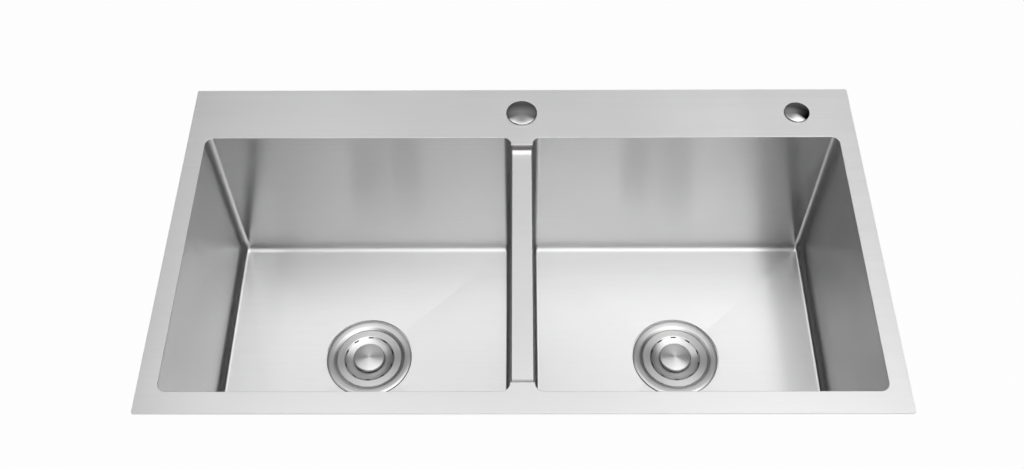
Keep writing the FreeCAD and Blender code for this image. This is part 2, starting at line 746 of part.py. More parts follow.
def make_plug(name, across, hole_radius):
    """A domed plug for one hole of the deck, held from below by a plate and a wing nut."""
    cover = f"({hole_radius} + cover_lap)"
    bore = "stud_radius + clamp_clearance"
    dome = [
        ("stud_radius", "-stud_long"),
        ("stud_radius", "0"),
        (cover, "0"),
        (cover, "cover_edge_high", f"-({cover} ^ 2 + dome_high ^ 2) / (2 * dome_high)"),
        ("0", "cover_dome_high"),
        ("0", "-stud_long"),
    ]
    level = "deck_top + cover_gasket_thick"
    turned_body(f"{name}_cover", across, "hole_line", level, dome)
    gasket = ring_section(bore, f"{cover} - cover_gasket_inset", "0", "cover_gasket_thick")
    turned_body(f"{name}_gasket", across, "hole_line", "deck_top", gasket)
    plate = ring_section(bore, f"{hole_radius} + plate_lap", "-plate_thick", "0")
    turned_body(f"{name}_plate", across, "hole_line", "seal_thick", plate)
    thread = "stud_radius + thread_play"
    hub = ring_section(thread, "stud_radius + wing_hub_wall", "-wing_hub_high", "0")
    nut = turned_body(f"{name}_wing_nut", across, "hole_line", "seal_thick - plate_thick", hub)
    for end, way in (("left", "-1"), ("right", "1")):
        wing = new_sketch(nut, f"{name}_{end}_wing", "XZ_Plane")
        root = f"{way} * (stud_radius + wing_hub_wall / 2)"
        outline = [
            (root, "-wing_hub_high / 3"),
            (root, "-wing_hub_high"),
            (f"{way} * wing_reach * 2 / 3", "-wing_high"),
            (f"{way} * wing_reach", "-wing_high"),
            (f"{way} * wing_reach", "-wing_high / 2"),
        ]
        draw_outline(wing, outline)
        add_pad(nut, wing, "wing_thick", middle=True)


make_deck()
make_bridge()
make_seal()
for side, sign in (("left", "-1"), ("right", "1")):
    make_bowl(side, sign)
    make_pads(side, sign)
    make_strainer(side, sign)
    make_tailpiece(side, sign)
    make_basket(side, sign)
    make_stopper(side, sign)
make_plug("tap", "0", "tap_hole_radius")
make_plug("dispenser", "dispenser_hole_across", "dispenser_hole_radius")

doc.recompute()
for item in doc.Objects:
    if "Invalid" in item.State or "Error" in item.State:
        raise RuntimeError(f"{item.Label} failed: {item.State}")
for body in parts:
    if body.Shape.isNull() or not body.Shape.isValid():
        raise RuntimeError(f"{body.Label} has no valid shape")

os.makedirs("parts", exist_ok=True)
for body in parts:
    shape = body.Shape
    shape.exportStep(f"parts/{body.Label}.step")
    print(f"{body.Label}: {len(shape.Solids)} solid, {shape.Volume / 1000:.2f} cm3")
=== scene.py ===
import math

import bmesh
import bpy
from mathutils import Matrix, Vector


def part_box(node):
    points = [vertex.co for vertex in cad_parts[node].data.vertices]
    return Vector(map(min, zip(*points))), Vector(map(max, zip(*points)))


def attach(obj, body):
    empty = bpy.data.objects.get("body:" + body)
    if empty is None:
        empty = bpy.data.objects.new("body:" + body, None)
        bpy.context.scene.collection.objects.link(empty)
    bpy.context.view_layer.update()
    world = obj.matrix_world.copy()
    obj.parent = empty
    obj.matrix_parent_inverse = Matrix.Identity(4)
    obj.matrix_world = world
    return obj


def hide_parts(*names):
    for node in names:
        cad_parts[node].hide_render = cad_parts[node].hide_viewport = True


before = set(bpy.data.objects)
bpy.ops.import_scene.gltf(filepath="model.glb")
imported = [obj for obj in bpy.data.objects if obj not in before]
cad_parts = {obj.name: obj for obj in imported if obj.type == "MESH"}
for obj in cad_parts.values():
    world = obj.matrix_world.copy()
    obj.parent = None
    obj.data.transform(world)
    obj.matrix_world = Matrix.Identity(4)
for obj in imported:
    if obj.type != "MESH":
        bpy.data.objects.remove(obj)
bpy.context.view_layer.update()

bl_info = {
    "name": "Kitchen Sink",
    "version": (1, 0, 0),
    "blender": (4, 5, 0),
    "location": "3D View > Sidebar > Sink",
    "description": "A double-bowl stainless kitchen sink with basket strainers, on a white stage",
    "category": "Add Mesh",
}

MM = 0.001
SIDES = (("left", -1), ("right", 1))
PLUGS = ("tap", "dispenser")
GRAIN = "grain"  # the UV map that the brush marks follow
SHARP = math.radians(32)  # an edge that turns further than this stays crisp
MERGE = 0.02 * MM  # points closer than this are the same point
SQUARE = 0.9  # part of a face's normal that shows it to be a floor or a wall
SHADE_STEEP = 0.6  # how far a face of the bridge's ends looks to front or rear where it takes the darker metal, a painted shade
ROUNDING_STEPS = 4  # faces across a rounded edge of the deck
SWEEP_STEPS = 12  # faces along each end of the bridge

deck_low, deck_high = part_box("deck_panel")
bowl_low, bowl_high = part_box("right_bowl")
strut_low, strut_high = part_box("divider_bridge")


def length(name, description, default):
    """A property that holds a length in metres."""
    return bpy.props.FloatProperty(
        name=name, description=description, default=default, unit="LENGTH", precision=5
    )


def tint(name, description, default):
    """A property that holds a colour."""
    return bpy.props.FloatVectorProperty(
        name=name, description=description, default=default, subtype="COLOR", size=3, min=0, max=1
    )


def share(name, description, default):
    """A property that holds a number from 0 to 1."""
    return bpy.props.FloatProperty(
        name=name, description=description, default=default, min=0, max=1, subtype="FACTOR"
    )


class SinkSizes(bpy.types.PropertyGroup):
    sheet: length("Bowl sheet", "Thickness of the bowls' steel", 1.2 * MM)
    corner: length("Bowl corners", "Inside radius of the bowls' upright corners", 10 * MM)
    floor_bend: length("Floor bend", "Inside radius between a bowl's walls and floor", 9 * MM)
    floor_fall: length("Floor fall", "How far the floor's facets fall towards the drain", 3 * MM)
    crease_end: length("Crease end", "Distance from the drain at which the creases would end", 38 * MM)
    seat: length("Seat radius", "Radius of the recess that the strainer's flange lies in", 57 * MM)
    seat_drop: length("Seat drop", "Depth of that recess under the lowest floor", 1.6 * MM)
    drain: length("Drain hole", "Radius of the hole in the bowl's floor", 45 * MM)
    deck_corner: length("Deck corners", "Radius of the deck's outer corners", 2 * MM)
    opening_round: length("Opening edge", "Rounding of the deck's edge along the bowls", 0.6 * MM)
    outer_round: length("Outer edge", "Rounding of the deck's outer edge", 0.25 * MM)
    strip_round: length("Bridge edge", "Rounding of the lowered bridge's long edges", 2.5 * MM)
    strip_leg: length("Bridge leg", "How far the bridge's legs reach down beside the bowls", 8 * MM)
    strip_sweep: length("Bridge sweep", "Length over which the bridge's ends rise to the deck", 9 * MM)
    tap_hole: length("Tap hole", "Radius of the hole for a tap", 17.5 * MM)
    dispenser_hole: length("Dispenser hole", "Radius of the hole for a dispenser", 14 * MM)


class SinkFinish(bpy.types.PropertyGroup):
    steel: tint("Sheet steel", "Colour of the brushed sheet", (0.862, 0.864, 0.863))
    spun: tint("Spun steel", "Colour of the strainers and baskets", (0.69, 0.69, 0.687))
    polish: tint("Polished steel", "Colour of the plugs", (0.8, 0.8, 0.8))
    # Painted shade: a darker colour for the bridge's upright ends, standing in for the shade of the gap
    # under the deck's edge
    weld: tint("Weld", "Darker colour on the bridge's upright ends, painted shade of the gap under the deck", (0.5, 0.47, 0.48))
    rubber: tint("Rubber", "Colour of the stoppers, gaskets and washers", (0.022, 0.022, 0.024))
    foam: tint("Foam seal", "Colour of the foam under the deck", (0.07, 0.07, 0.072))
    pad: tint("Sound pads", "Colour of the rubber pads outside the bowls", (0.05, 0.052, 0.056))
    plastic: tint("Nut plastic", "Colour of the moulded nuts", (0.72, 0.72, 0.7))
    fibre: tint("Fibre ring", "Colour of the pressed ring over the lock nut", (0.42, 0.29, 0.17))
    brass: tint("Brass", "Colour of the wing nuts", (0.68, 0.5, 0.24))
    zinc: tint("Zinc plate", "Colour of the plates under the plugs", (0.56, 0.57, 0.6))
    sheet_gloss: share("Sheet roughness", "Roughness of the brushed sheet", 0.3)
    sheet_grain: share("Sheet grain", "How far the brushing stretches highlights", 1.0)


class SinkStudio(bpy.types.PropertyGroup):
    lens: bpy.props.FloatProperty(
        name="Lens", description="Focal length on a 36 mm sensor", default=40.77,
        subtype="DISTANCE_CAMERA",
    )
    place: bpy.props.FloatVectorProperty(
        name="Camera place", description="Where the camera stands", default=(-0.0023, -0.7636, 1.1045),
        subtype="TRANSLATION", size=3,
    )
    pitch: bpy.props.FloatProperty(
        name="Pitch", description="How far the camera looks down", default=math.radians(55.14),
        subtype="ANGLE",
    )
    yaw: bpy.props.FloatProperty(
        name="Yaw", description="How far the camera turns right", default=math.radians(-0.7),
        subtype="ANGLE",
    )
    roll: bpy.props.FloatProperty(
        name="Roll", description="How far the camera leans", default=math.radians(-0.68),
        subtype="ANGLE",
    )
    margin: length("Worktop margin", "How far the worktop reaches past the sink", 88 * MM)
    worktop: length("Worktop", "Thickness of the worktop", 18 * MM)
    cutout: length("Cut-out", "How far the worktop's cut-out lies inside the deck's edge", 12 * MM)
    cutout_corner: length("Cut-out corners", "Radius of the cut-out's corners", 8 * MM)
    worktop_corner: length("Worktop corners", "Radius of the worktop's corners", 20 * MM)
    ground: length("Floor", "Distance from the worktop's top to the floor", 400 * MM)
    glow: share("Stage white", "How far the camera sees the worktop and the floor as pure white", 0.97)


# Shapes


def ring_of(bm, corners, height, segments=8):
    """Add a closed loop of edges through corners (x, y, rounding) at one height."""
    flat = bmesh.new()
    spots = [flat.verts.new((x, y, height)) for x, y, _ in corners]
    flat.faces.new(spots)
    for radius in sorted({corner[2] for corner in corners if corner[2] > 0}):
        chosen = [spot for spot, corner in zip(spots, corners) if corner[2] == radius]
        bmesh.ops.bevel(
            flat, geom=chosen, offset=radius, offset_type="OFFSET", segments=segments,
            profile=0.5, affect="VERTICES", material=-1,
        )
    flat.faces.ensure_lookup_table()
    verts = [bm.verts.new(loop.vert.co) for loop in flat.faces[0].loops]
    flat.free()
    return [bm.edges.new(pair) for pair in zip(verts, verts[1:] + verts[:1])]


def circle_of(bm, middle, radius, segments=96):
    """Add a circle of edges round a point."""
    made = bmesh.ops.create_circle(
        bm, cap_ends=False, segments=segments, radius=radius, matrix=Matrix.Translation(middle)
    )
    return list({edge for vert in made["verts"] for edge in vert.link_edges})


def join_rings(bm, rings):
    """Close the walls between loops that follow each other."""
    for first, second in zip(rings, rings[1:]):
        bmesh.ops.bridge_loops(bm, edges=first + second)


def box_corners(left, right, front, rear, radius):
    """The four corners of a rounded rectangle."""
    return [(left, front, radius), (right, front, radius), (right, rear, radius), (left, rear, radius)]


def paint_grain(bm, turned_about=None):
    """Lay the brushing on every face: U runs along the marks and V across them.

    Flat sheet is brushed from left to right, and turned pieces round their axis.
    """
    layer = bm.loops.layers.uv.new(GRAIN)
    for face in bm.faces:
        normal = face.normal
        if turned_about is None:
            end_on = abs(normal.x) >= 0.98
            along = Vector((0, 0, 1)) if end_on else Vector((1, 0, 0))
            along = (along - normal * along.dot(normal)).normalized()
            across = normal.cross(along)
            for loop in face.loops:
                loop[layer].uv = (loop.vert.co.dot(along), loop.vert.co.dot(across))
            continue
        middle = face.calc_center_median() - turned_about
        turn = math.atan2(middle.y, middle.x)
        reach = max(math.hypot(middle.x, middle.y), MM)
        slope = Vector((math.cos(turn), math.sin(turn), 0))
        lies_flat = abs(normal.z) > 0.1
        down = ((slope - normal * slope.dot(normal)) if lies_flat else Vector((0, 0, 1))).normalized()
        for loop in face.loops:
            spot = loop.vert.co - turned_about
            angle = math.atan2(spot.y, spot.x) - turn if math.hypot(spot.x, spot.y) > MM / 10 else 0
            angle = (angle + math.pi) % (2 * math.pi) - math.pi
            loop[layer].uv = (angle * reach + turn * reach, spot.dot(down) + middle.z * 0.37)


def finish_piece(bm, name, body, material, nodes, turned_about=None, creases=(), thick=0):
    """Turn a bmesh into a piece of the sink that rides on its body."""
    for crease in creases:
        crease.smooth = False
    for edge in bm.edges:
        if len(edge.link_faces) == 2 and edge.calc_face_angle(0) > SHARP:
            edge.smooth = False
    for face in bm.faces:
        face.smooth = True
    paint_grain(bm, turned_about)
    mesh = bpy.data.meshes.new(name)
    bm.to_mesh(mesh)
    bm.free()
    mesh.materials.append(material)
    piece = bpy.data.objects.new(name, mesh)
    bpy.context.scene.collection.objects.link(piece)
    if thick:
        wall = piece.modifiers.new("sheet", "SOLIDIFY")
        wall.thickness = thick
        wall.offset = -1
        wall.use_even_offset = True
    piece.modifiers.new("shading", "WEIGHTED_NORMAL").keep_sharp = True
    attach(piece, body)
    if nodes:
        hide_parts(*nodes)
    return piece


def in_millimetres(section):
    """A half section written in millimetres, in metres."""
    return [tuple(value * MM for value in corner) for corner in section]


def turned_section(section, middle, steps=96):
    """Spin a closed half section of (radius, height, rounding) round an upright axis."""
    bm = bmesh.new()
    spots = [bm.verts.new((radius, 0, height)) for radius, height, _ in section]
    bm.faces.new(spots)
    for rounding in sorted({spot[2] for spot in section if spot[2] > 0}):
        chosen = [spot for spot, corner in zip(spots, section) if corner[2] == rounding]
        segments = 14 if rounding > 4 * MM else 3
        bmesh.ops.bevel(
            bm, geom=chosen, offset=rounding, offset_type="OFFSET", segments=segments,
            profile=0.5, affect="VERTICES", material=-1,
        )
    bmesh.ops.delete(bm, geom=bm.faces[:], context="FACES_ONLY")
    on_axis = [edge for edge in bm.edges if all(vert.co.x < MERGE for vert in edge.verts)]
    bmesh.ops.delete(bm, geom=on_axis, context="EDGES")
    bmesh.ops.spin(
        bm, geom=bm.edges[:], cent=(0, 0, 0), axis=(0, 0, 1), angle=math.tau, steps=steps, use_merge=True
    )
    bmesh.ops.remove_doubles(bm, verts=bm.verts, dist=MERGE / 4)
    bmesh.ops.translate(bm, verts=bm.verts, vec=middle)
    bmesh.ops.recalc_face_normals(bm, faces=bm.faces)
    return bm


def cut_slots(bm, middle, reach, levels, count=10, half_turn=math.radians(6)):
    """Open evenly spaced slots through both skins of a turned wall."""
    for index in range(count):
        turn = math.tau * (index / count + 0.25)
        window = []
        for face in bm.faces:
            spot = face.calc_center_median() - middle
            aside = (math.atan2(spot.y, spot.x) - turn + math.pi) % math.tau - math.pi
            in_reach = reach[0] < math.hypot(spot.x, spot.y) < reach[1]
            if in_reach and levels[0] < spot.z < levels[1] and abs(aside) < half_turn:
                window.append(face)
        inside = set(window)
        border = [
            edge for edge in {edge for face in window for edge in face.edges}
            if sum(face in inside for face in edge.link_faces) == 1
        ]
        bmesh.ops.delete(bm, geom=window, context="FACES")
        bmesh.ops.bridge_loops(bm, edges=border)
    bmesh.ops.recalc_face_normals(bm, faces=bm.faces)


def opening_corners(grow):
    """The outline that both bowls share, grown by a distance into the deck."""
    sizes = bpy.context.scene.sink_sizes
    side, near = bowl_high.x - sizes.sheet + grow, bowl_low.x + sizes.sheet - grow
    front, rear = bowl_low.y + sizes.sheet - grow, bowl_high.y - sizes.sheet + grow
    tip_front, tip_rear = strut_low.y + sizes.sheet - grow, strut_high.y - sizes.sheet + grow
    bend = sizes.corner + grow
    half = [
        (near, tip_front, 0), (near, front, bend), (side, front, bend),
        (side, rear, bend), (near, rear, bend), (near, tip_rear, 0),
    ]
    return half + [(-x, y, bend_at) for x, y, bend_at in reversed(half)]


def build_deck():
    """The flat panel with its opening and two holes."""
    sizes = bpy.context.scene.sink_sizes
    bm = bmesh.new()
    low, high = deck_low.z, deck_high.z
    top, bottom = [], []

    def outer(inset):
        return box_corners(
            deck_low.x + inset, deck_high.x - inset, deck_low.y + inset, deck_high.y - inset,
            sizes.deck_corner - inset,
        )

    for outline, rounding in ((outer, sizes.outer_round), (opening_corners, sizes.opening_round)):
        rings = []
        for step in range(ROUNDING_STEPS + 1):
            angle = math.pi / 2 * step / ROUNDING_STEPS
            shift = rounding * (1 - math.sin(angle))
            rings.append(ring_of(bm, outline(shift), high - rounding * (1 - math.cos(angle))))
        rings.append(ring_of(bm, outline(0), low))
        join_rings(bm, rings)
        top += rings[0]
        bottom += rings[-1]
    for plug, radius in zip(PLUGS, (sizes.tap_hole, sizes.dispenser_hole)):
        cover_low, cover_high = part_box(f"{plug}_cover")
        middle = (cover_low + cover_high) / 2
        rings = [circle_of(bm, (middle.x, middle.y, height), radius, 48) for height in (high, low)]
        join_rings(bm, rings)
        top += rings[0]
        bottom += rings[1]
    for edges in (top, bottom):
        bmesh.ops.triangle_fill(bm, use_beauty=True, use_dissolve=False, edges=edges)
    bmesh.ops.recalc_face_normals(bm, faces=bm.faces)
    return bm


def build_bowl(side, sign):
    """One bowl's inner skin with its bent corners, creased floor and recessed drain."""
    sizes = bpy.context.scene.sink_sizes
    low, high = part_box(f"{side}_bowl")
    middle = (low + high) / 2
    wide = (high.x - low.x) / 2 - sizes.sheet
    deep = (high.y - low.y) / 2 - sizes.sheet
    seat_level = low.z + sizes.sheet
    floor_low = seat_level + sizes.seat_drop
    floor_edge = floor_low + sizes.floor_fall
    crease_wide, crease_deep = wide - sizes.floor_bend, deep - sizes.floor_bend
    end_share = sizes.crease_end / math.hypot(crease_wide, crease_deep)

    bm = bmesh.new()
    scale = Matrix.Diagonal((2 * wide, 2 * deep, high.z - floor_edge, 1))
    place = Matrix.Translation((middle.x, middle.y, (high.z + floor_edge) / 2))
    bmesh.ops.create_cube(bm, size=1, matrix=place @ scale)
    bmesh.ops.delete(bm, geom=[face for face in bm.faces if face.normal.z > 0.5], context="FACES_ONLY")

    def upright(edge):
        return abs(edge.verts[0].co.z - edge.verts[1].co.z) > MM

    def at_floor(edge):
        return all(abs(vert.co.z - floor_edge) < MERGE for vert in edge.verts)

    for radius, chosen, segments in ((sizes.corner, upright, 10), (sizes.floor_bend, at_floor, 10)):
        bmesh.ops.bevel(
            bm, geom=[edge for edge in bm.edges if chosen(edge)], offset=radius, offset_type="OFFSET",
            segments=segments, profile=0.5, affect="EDGES", material=-1,
        )
    level = [face for face in bm.faces if abs(face.normal.z) > SQUARE]
    floor = max(level, key=lambda face: face.calc_area())
    around = [loop.vert for loop in floor.loops]
    bmesh.ops.delete(bm, geom=[floor], context="FACES_ONLY")

    def bearing(vert):
        return math.atan2(vert.co.y - middle.y, vert.co.x - middle.x)

    def height_at(x, y):
        reach = max(abs(x - middle.x) / crease_wide, abs(y - middle.y) / crease_deep)
        return floor_edge - sizes.floor_fall * (1 - reach) / (1 - end_share)

    circle = circle_of(bm, (middle.x, middle.y, floor_edge), sizes.seat)
    rim = sorted({vert for edge in circle for vert in edge.verts}, key=bearing)
    around.sort(key=bearing)
    corner_turns = [
        math.atan2(y * crease_deep, x * crease_wide) for x, y in ((-1, -1), (1, -1), (1, 1), (-1, 1))
    ]
    ends = []
    for turn in corner_turns:
        outer = min(around, key=lambda vert: abs(bearing(vert) - turn))
        inner = min(rim, key=lambda vert: abs(bearing(vert) - turn))
        inner.co.x = middle.x + sizes.seat * math.cos(turn)
        inner.co.y = middle.y + sizes.seat * math.sin(turn)
        ends.append((around.index(outer), rim.index(inner)))
    for vert in rim:
        vert.co.z = height_at(vert.co.x, vert.co.y)

    def stretch(ring, start, stop):
        return ring[start:stop + 1] if start <= stop else ring[start:] + ring[:stop + 1]

    for near, far in zip(ends, ends[1:] + ends[:1]):
        outer = stretch(around, near[0], far[0])
        inner = stretch(rim, near[1], far[1])
        bm.faces.new(outer + inner[::-1])
    creases = [
        edge for outer, inner in ends for edge in around[outer].link_edges if rim[inner] in edge.verts
    ]

    seat = bmesh.ops.extrude_edge_only(bm, edges=circle)["geom"]
    for vert in (item for item in seat if isinstance(item, bmesh.types.BMVert)):
        vert.co.z = seat_level
    seat_edges = [item for item in seat if isinstance(item, bmesh.types.BMEdge) and all(
        abs(vert.co.z - seat_level) < MERGE for vert in item.verts)]
    drain = bmesh.ops.extrude_edge_only(bm, edges=seat_edges)["geom"]
    inner_verts = [item for item in drain if isinstance(item, bmesh.types.BMVert)]
    inward = Matrix.Diagonal((sizes.drain / sizes.seat, sizes.drain / sizes.seat, 1, 1))
    bmesh.ops.transform(
        bm, verts=inner_verts, matrix=inward, space=Matrix.Translation((-middle.x, -middle.y, 0))
    )

    divide = middle.x - sign * wide
    cuts = (
        ((divide, strut_low.y + sizes.sheet, 0), (0, 1, 0)),
        ((divide, strut_high.y - sizes.sheet, 0), (0, 1, 0)),
        ((divide, 0, strut_low.z), (0, 0, 1)),
    )
    for spot, normal in cuts:
        wall = [
            face for face in bm.faces
            if abs(face.calc_center_median().x - divide) < MERGE and abs(face.normal.x) > SQUARE
        ]
        edges = {edge for face in wall for edge in face.edges}
        bmesh.ops.bisect_plane(bm, geom=wall + list(edges), dist=MERGE / 10, plane_co=spot, plane_no=normal)
    notch = []
    for face in bm.faces:
        centre = face.calc_center_median()
        in_reach = strut_low.y + sizes.sheet < centre.y < strut_high.y - sizes.sheet
        if abs(centre.x - divide) < MERGE and in_reach and centre.z > strut_low.z:
            notch.append(face)
    bmesh.ops.delete(bm, geom=notch, context="FACES")
    bmesh.ops.recalc_face_normals(bm, faces=bm.faces)
    lowest = min(bm.faces, key=lambda face: face.calc_center_median().z)
    if lowest.normal.z < 0:
        bmesh.ops.reverse_faces(bm, faces=bm.faces)
    return bm, creases


def build_bridge():
    """The lowered strip between the bowls, whose ends sweep up to the deck."""
    sizes = bpy.context.scene.sink_sizes
    bm = bmesh.new()
    low, high = strut_low, strut_high
    top = low.z + sizes.strip_leg
    sheet, bend = sizes.sheet, sizes.strip_round
    front, rear = low.y + sheet, high.y - sheet
    rise = high.z - top
    stations = []
    for step in range(SWEEP_STEPS + 1):
        angle = math.pi / 2 * step / SWEEP_STEPS
        stations.append((sizes.strip_sweep * (1 - math.sin(angle)), top + rise * (1 - math.cos(angle))))
    path = [(low.y, high.z)] + [(front + inset, height) for inset, height in stations[::-1]]
    path += [(rear - inset, height) for inset, height in stations] + [(high.y, high.z)]
    rings = []
    for along, height in path:
        section = [
            (low.x, low.z, 0), (low.x, height, bend), (high.x, height, bend), (high.x, low.z, 0),
            (high.x - sheet, low.z, 0), (high.x - sheet, height - sheet, bend - sheet),
            (low.x + sheet, height - sheet, bend - sheet), (low.x + sheet, low.z, 0),
        ]
        ring = ring_of(bm, section, 0, 6)
        for vert in {vert for edge in ring for vert in edge.verts}:
            vert.co = (vert.co.x, along, vert.co.y)
        rings.append(ring)
    join_rings(bm, rings)
    for ring in (rings[0], rings[-1]):
        bm.faces.new(ordered(ring))
    bmesh.ops.recalc_face_normals(bm, faces=bm.faces)
    # The upright faces of the raised ends take the second, darker material: painted shade of the gap under
    # the deck's edge
    for face in bm.faces:
        if abs(face.normal.y) > SHADE_STEEP and face.calc_center_median().z > top:
            face.material_index = 1
    return bm


def ordered(edges):
    """The vertices of a closed loop of edges, in order."""
    edges = list(edges)
    start = edges[0].verts[0]
    chain, left = [start], set(edges)
    while left:
        step = next(edge for edge in chain[-1].link_edges if edge in left)
        left.remove(step)
        following = step.other_vert(chain[-1])
        if following is start:
            break
        chain.append(following)
    return chain


def axis_of(node):
    """The middle of a round node's outline, at height 0."""
    low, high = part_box(node)
    return Vector(((low.x + high.x) / 2, (low.y + high.y) / 2, 0))


# Finishes


def new_group(name, inputs, outputs):
    """An empty shader node group with named sockets."""
    group = bpy.data.node_groups.new(name, "ShaderNodeTree")
    for label, kind, default in inputs:
        socket = group.interface.new_socket(name=label, in_out="INPUT", socket_type=kind)
        if default is not None:
            socket.default_value = default
    for label, kind in outputs:
        group.interface.new_socket(name=label, in_out="OUTPUT", socket_type=kind)
    start, end = group.nodes.new("NodeGroupInput"), group.nodes.new("NodeGroupOutput")
    return group, start, end


def add_node(tree, kind, **settings):
    """Add a node, with settings by attribute and defaults by input name."""
    node = tree.nodes.new(kind)
    for key, value in settings.items():
        if key == "values":
            for label, default in value.items():
                node.inputs[label].default_value = default
        else:
            setattr(node, key, value)
    return node


def math_node(tree, operation, first, second):
    """A Math node whose inputs are sockets or numbers."""
    node = tree.nodes.new("ShaderNodeMath")
    node.operation = operation
    for socket, value in zip(node.inputs, (first, second)):
        if isinstance(value, (int, float)):
            socket.default_value = value
        else:
            tree.links.new(value, socket)
    return node.outputs[0]


def make_brush_group():
    """Fine marks that run along U, with wider bands among them."""
    group, start, end = new_group(
        "Brush marks",
        [("Vector", "NodeSocketVector", None), ("Across", "NodeSocketFloat", 1600.0),
         ("Along", "NodeSocketFloat", 14.0)],
        [("Marks", "NodeSocketFloat"), ("Bands", "NodeSocketFloat")],
    )
    split = add_node(group, "ShaderNodeSeparateXYZ")
    group.links.new(start.outputs["Vector"], split.inputs[0])
    for label, factor, detail in (("Marks", 1.0, 3.0), ("Bands", 0.09, 2.0)):
        join = add_node(group, "ShaderNodeCombineXYZ")
        along = math_node(group, "MULTIPLY", start.outputs["Along"], factor)
        across = math_node(group, "MULTIPLY", start.outputs["Across"], factor)
        group.links.new(math_node(group, "MULTIPLY", split.outputs[0], along), join.inputs[0])
        group.links.new(math_node(group, "MULTIPLY", split.outputs[1], across), join.inputs[1])
        noise = add_node(
            group, "ShaderNodeTexNoise", noise_dimensions="2D",
            values={"Scale": 1.0, "Detail": detail, "Roughness": 0.65},
        )
        group.links.new(join.outputs[0], noise.inputs["Vector"])
        group.links.new(noise.outputs["Fac"], end.inputs[label])
    return group


def make_cloud_group():
    """Slow changes over a surface, such as handling marks and sheet that isn't quite flat."""
    group, start, end = new_group(
        "Slow changes",
        [("Vector", "NodeSocketVector", None), ("Scale", "NodeSocketFloat", 9.0)],
        [("Clouds", "NodeSocketFloat"), ("Specks", "NodeSocketFloat")],
    )
    for label, factor, detail in (("Clouds", 1.0, 2.0), ("Specks", 22.0, 5.0)):
        noise = add_node(group, "ShaderNodeTexNoise", values={"Detail": detail, "Roughness": 0.55})
        group.links.new(start.outputs["Vector"], noise.inputs["Vector"])
        group.links.new(math_node(group, "MULTIPLY", start.outputs["Scale"], factor), noise.inputs["Scale"])
        group.links.new(noise.outputs["Fac"], end.inputs[label])
    return group


def group_node(tree, name):
    """Place a shared group in a material."""
    groups = bpy.data.node_groups
    makers = {"Brush marks": make_brush_group, "Slow changes": make_cloud_group}
    return add_node(tree, "ShaderNodeGroup", node_tree=groups[name] if name in groups else makers[name]())


def ramp(tree, source, low, high):
    """Stretch noise, which lies mostly between 0.25 and 0.75, to a range."""
    spans = {"From Min": 0.25, "From Max": 0.75, "To Min": low, "To Max": high}
    node = add_node(tree, "ShaderNodeMapRange", values=spans)
    tree.links.new(source, node.inputs["Value"])
    return node.outputs[0]


def blank_material(name):
    """A material with only its Principled shader."""
    material = bpy.data.materials.new(name)
    material.use_nodes = True
    shader = material.node_tree.nodes["Principled BSDF"]
    return material, material.node_tree, shader


def tone(tree, colour, factor):
    """A colour made darker or lighter by a changing factor."""
    node = add_node(tree, "ShaderNodeMix", data_type="RGBA", blend_type="MULTIPLY")
    node.inputs["Factor"].default_value = 1.0
    node.inputs["A"].default_value = (*colour, 1)
    tree.links.new(factor, node.inputs["B"])
    return node.outputs["Result"]


def steel_material(name, colour, rough, stretch, across, along, depth=1.0, wave=1.0, spread=0.05):
    """Metal with brush marks along its grain."""
    if name in bpy.data.materials:
        return bpy.data.materials[name]
    material, tree, shader = blank_material(name)
    grain = add_node(tree, "ShaderNodeUVMap", uv_map=GRAIN)
    place = add_node(tree, "ShaderNodeTexCoord")
    marks = group_node(tree, "Brush marks")
    slow = group_node(tree, "Slow changes")
    marks.inputs["Across"].default_value = across
    marks.inputs["Along"].default_value = along
    tree.links.new(grain.outputs[0], marks.inputs["Vector"])
    tree.links.new(place.outputs["Object"], slow.inputs["Vector"])

    mixed = math_node(tree, "ADD", math_node(tree, "MULTIPLY", marks.outputs["Marks"], 0.6),
                      math_node(tree, "MULTIPLY", marks.outputs["Bands"], 0.4))
    tree.links.new(tone(tree, colour, ramp(tree, mixed, 1 - spread, 1.0)), shader.inputs["Base Color"])
    cloudy = math_node(tree, "ADD", math_node(tree, "MULTIPLY", mixed, 0.6),
                       math_node(tree, "MULTIPLY", slow.outputs["Clouds"], 0.4))
    tree.links.new(ramp(tree, cloudy, rough * 0.88, rough * 1.12), shader.inputs["Roughness"])
    shader.inputs["Metallic"].default_value = 1.0
    shader.inputs["Anisotropic"].default_value = stretch
    shader.inputs["Anisotropic Rotation"].default_value = 0.25
    tangent = add_node(tree, "ShaderNodeTangent", direction_type="UV_MAP", uv_map=GRAIN)
    tree.links.new(tangent.outputs[0], shader.inputs["Tangent"])

    fine = add_node(tree, "ShaderNodeBump", values={"Strength": 0.25 * depth, "Distance": 0.01 * MM})
    tree.links.new(marks.outputs["Marks"], fine.inputs["Height"])
    broad = add_node(tree, "ShaderNodeBump", values={"Strength": 0.35 * wave, "Distance": 0.25 * MM})
    tree.links.new(slow.outputs["Clouds"], broad.inputs["Height"])
    tree.links.new(broad.outputs[0], fine.inputs["Normal"])
    tree.links.new(fine.outputs[0], shader.inputs["Normal"])
    return material


